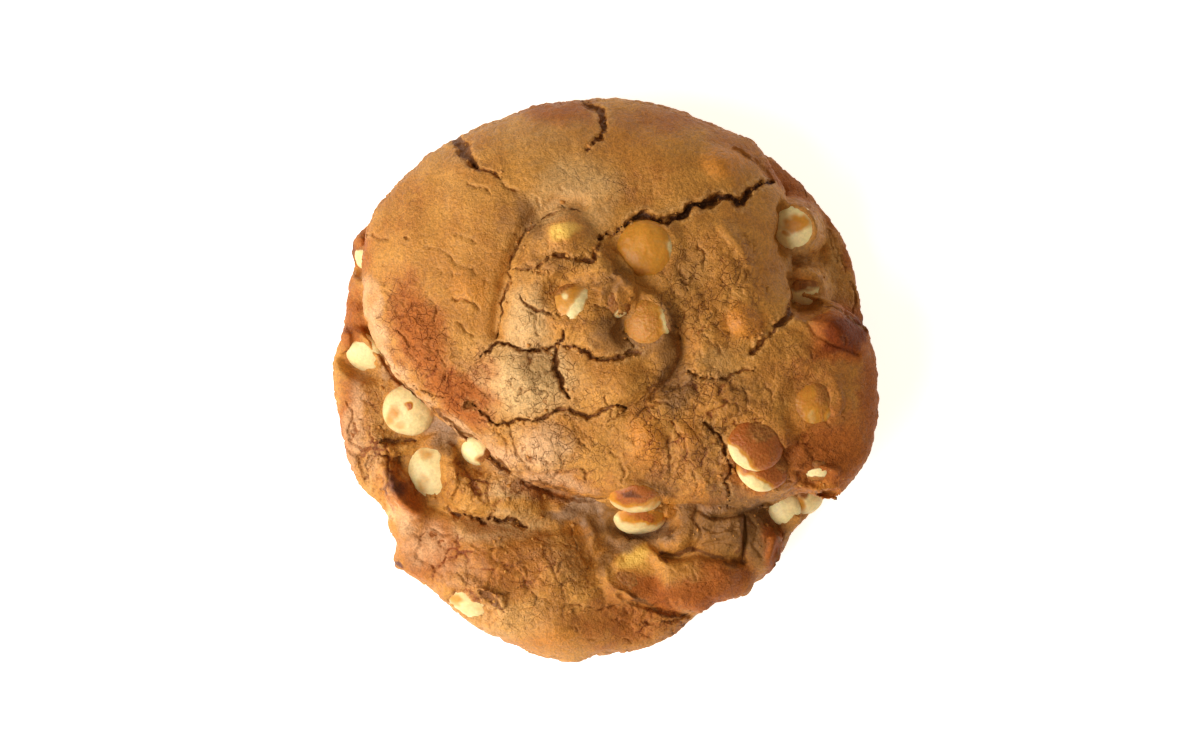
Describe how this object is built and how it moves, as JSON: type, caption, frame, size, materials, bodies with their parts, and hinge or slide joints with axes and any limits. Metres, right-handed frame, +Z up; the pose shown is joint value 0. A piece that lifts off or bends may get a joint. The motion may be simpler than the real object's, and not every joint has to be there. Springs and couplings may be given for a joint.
{
  "type": "white chocolate cookie",
  "caption": "Thick, craggy baked cookie with a cracked crown over a lower layer, and white chocolate buttons set in its top and edges.",
  "frame": {"origin": "middle of the cookie's outline, on the flat underside that it rests on", "axes": "+Z up, +Y towards the top of the picture and +X towards its right"},
  "size_m": [0.1039, 0.1074, 0.0343],
  "materials": {
    "dough": "baked crust, matt with a fine sandy grain",
    "white_chocolate": "satin, cream coloured",
    "toasted_chocolate": "satin, baked to amber and brown"
  },
  "bodies": {
    "root": {"dough": "dough", "button_trough_upper": "white_chocolate", "button_trough_lower": "white_chocolate", "button_knob_edge": "toasted_chocolate", "button_knob_left": "toasted_chocolate", "button_knob_right": "toasted_chocolate", "button_knob_middle": "toasted_chocolate", "button_right_shoulder": "toasted_chocolate", "button_pair_upper": "toasted_chocolate", "button_pair_lower": "toasted_chocolate", "button_sliver": "white_chocolate", "button_under_lip_left": "white_chocolate", "button_under_lip_right": "white_chocolate", "button_stack_upper": "toasted_chocolate", "button_stack_lower": "toasted_chocolate", "button_flap": "toasted_chocolate", "button_ledge": "white_chocolate", "button_left_edge": "white_chocolate", "button_nugget": "white_chocolate", "button_nugget_tip": "white_chocolate", "button_upper_left_edge": "white_chocolate", "button_heel_edge": "white_chocolate"}
  },
  "joints": []
}
